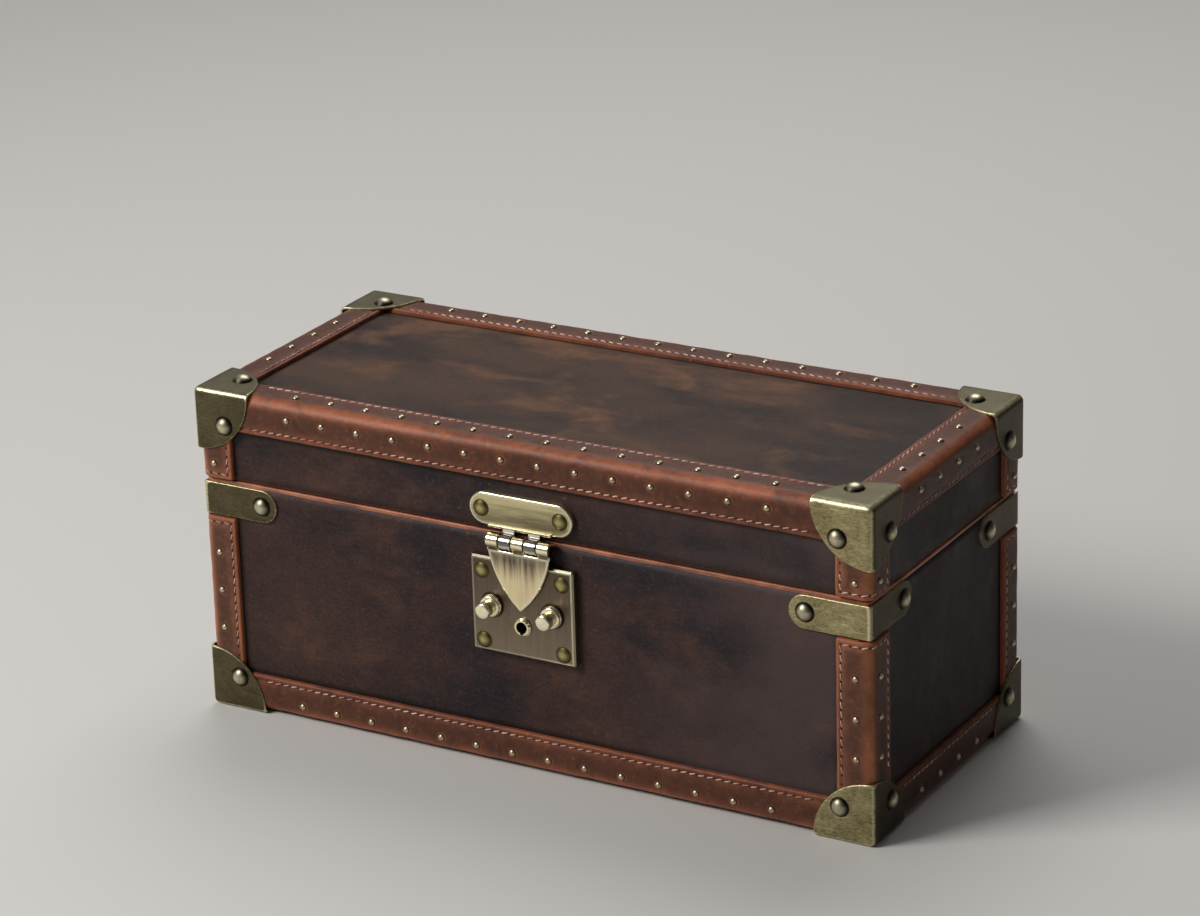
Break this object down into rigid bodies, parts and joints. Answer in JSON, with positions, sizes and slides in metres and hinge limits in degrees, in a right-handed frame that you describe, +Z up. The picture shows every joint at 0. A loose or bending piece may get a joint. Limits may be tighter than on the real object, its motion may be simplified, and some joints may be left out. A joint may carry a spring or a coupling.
{
  "type": "leather watch box",
  "caption": "Trunk-style leather watch box with brass corners, tacked edge strips, a hasp lock and cushioned wells under a hinged lid.",
  "frame": {"origin": "on the surface the box stands on, under the middle of its bounding box", "axes": "+X to the right along the front, +Y to the back, +Z up; the lock is on the -Y face"},
  "size_m": [0.3204, 0.1538, 0.1468],
  "materials": {
    "wood_board": "sawn plywood, matt",
    "panel_leather": "mottled waxed pull-up leather, dark brown to charcoal",
    "strip_leather": "waxed reddish brown leather with lighter folded edges",
    "rim_leather": "orange-brown burnished edge",
    "antique_brass": "antiqued, speckled olive patina with bright worn edges",
    "dark_rivet": "smooth antiqued brass",
    "brushed_brass": "brushed antique brass",
    "bright_brass": "polished pale brass",
    "steel": "plain",
    "suede": "tan microsuede",
    "cushion_suede": "soft tan microsuede"
  },
  "bodies": {
    "base": {"base_back_board": "wood_board", "base_back_panel": "panel_leather", "base_brackets": "antique_brass", "base_corner_left_back": "antique_brass", "base_corner_left_front": "antique_brass", "base_corner_right_back": "antique_brass", "base_corner_right_front": "antique_brass", "base_dome_rivets": "dark_rivet", "base_floor_board": "wood_board", "base_foot_strips": "strip_leather", "base_front_board": "wood_board", "base_front_panel": "panel_leather", "base_left_board": "wood_board", "base_lining": "suede", "base_post_strips": "strip_leather", "base_right_board": "wood_board", "base_rim_binding": "rim_leather", "base_side_panels": "panel_leather", "base_tacks": "dark_rivet", "base_underside_panel": "panel_leather", "divider_1": "suede", "divider_2": "suede", "divider_3": "suede", "divider_4": "suede", "hinge_base_leaves": "brushed_brass", "hinge_pins": "bright_brass", "keyhole_ring": "bright_brass", "lock_case": "steel", "lock_plate": "brushed_brass", "lock_rivets": "dark_rivet"},
    "lid": {"hasp_pin": "bright_brass", "hasp_plate": "brushed_brass", "hasp_rivets": "dark_rivet", "hinge_lid_leaves": "brushed_brass", "lid_back_board": "wood_board", "lid_corners": "antique_brass", "lid_dome_rivets": "dark_rivet", "lid_front_board": "wood_board", "lid_left_board": "wood_board", "lid_lining": "suede", "lid_pad": "suede", "lid_post_strips": "strip_leather", "lid_right_board": "wood_board", "lid_tacks": "dark_rivet", "lid_top_board": "wood_board", "lid_top_panel": "panel_leather", "lid_top_strips": "strip_leather", "lid_wall_panels": "panel_leather"},
    "hasp_flap_body": {"hasp_flap": "brushed_brass", "hasp_catch": "steel"},
    "left_stud_body": {"left_stud": "bright_brass", "left_bolt": "steel"},
    "right_stud_body": {"right_stud": "bright_brass", "right_bolt": "steel"},
    "lock_plug_body": {"lock_plug": "bright_brass"},
    "cushion_1_body": {"cushion_1": "cushion_suede"},
    "cushion_2_body": {"cushion_2": "cushion_suede"},
    "cushion_3_body": {"cushion_3": "cushion_suede"},
    "cushion_4_body": {"cushion_4": "cushion_suede"},
    "cushion_5_body": {"cushion_5": "cushion_suede"}
  },
  "joints": [
    {"name": "lid_hinge", "type": "hinge", "parent": "base", "child": "lid", "pos_m": [0, 0.07195, 0.1043], "axis": [-1, 0, 0], "range_deg": [0, 100]},
    {"name": "hasp_swing", "type": "hinge", "parent": "lid", "child": "hasp_flap_body", "pos_m": [0, -0.06825, 0.1017], "axis": [-1, 0, 0], "range_deg": [0, 120]},
    {"name": "left_stud_slide", "type": "slide", "parent": "base", "child": "left_stud_body", "axis": [-1, 0, 0], "range_m": [0, 0.0026], "stiffness_N_per_m": 150, "springref_m": -0.002},
    {"name": "right_stud_slide", "type": "slide", "parent": "base", "child": "right_stud_body", "axis": [1, 0, 0], "range_m": [0, 0.0026], "stiffness_N_per_m": 150, "springref_m": -0.002},
    {"name": "lock_plug_turn", "type": "hinge", "parent": "base", "child": "lock_plug_body", "pos_m": [0, -0.06815, 0.0656], "axis": [0, 1, 0], "range_deg": [0, 90]},
    {"name": "cushion_1_lift", "type": "slide", "parent": "base", "child": "cushion_1_body", "axis": [0, 0, 1], "range_m": [0, 0.055]},
    {"name": "cushion_2_lift", "type": "slide", "parent": "base", "child": "cushion_2_body", "axis": [0, 0, 1], "range_m": [0, 0.055]},
    {"name": "cushion_3_lift", "type": "slide", "parent": "base", "child": "cushion_3_body", "axis": [0, 0, 1], "range_m": [0, 0.055]},
    {"name": "cushion_4_lift", "type": "slide", "parent": "base", "child": "cushion_4_body", "axis": [0, 0, 1], "range_m": [0, 0.055]},
    {"name": "cushion_5_lift", "type": "slide", "parent": "base", "child": "cushion_5_body", "axis": [0, 0, 1], "range_m": [0, 0.055]}
  ]
}
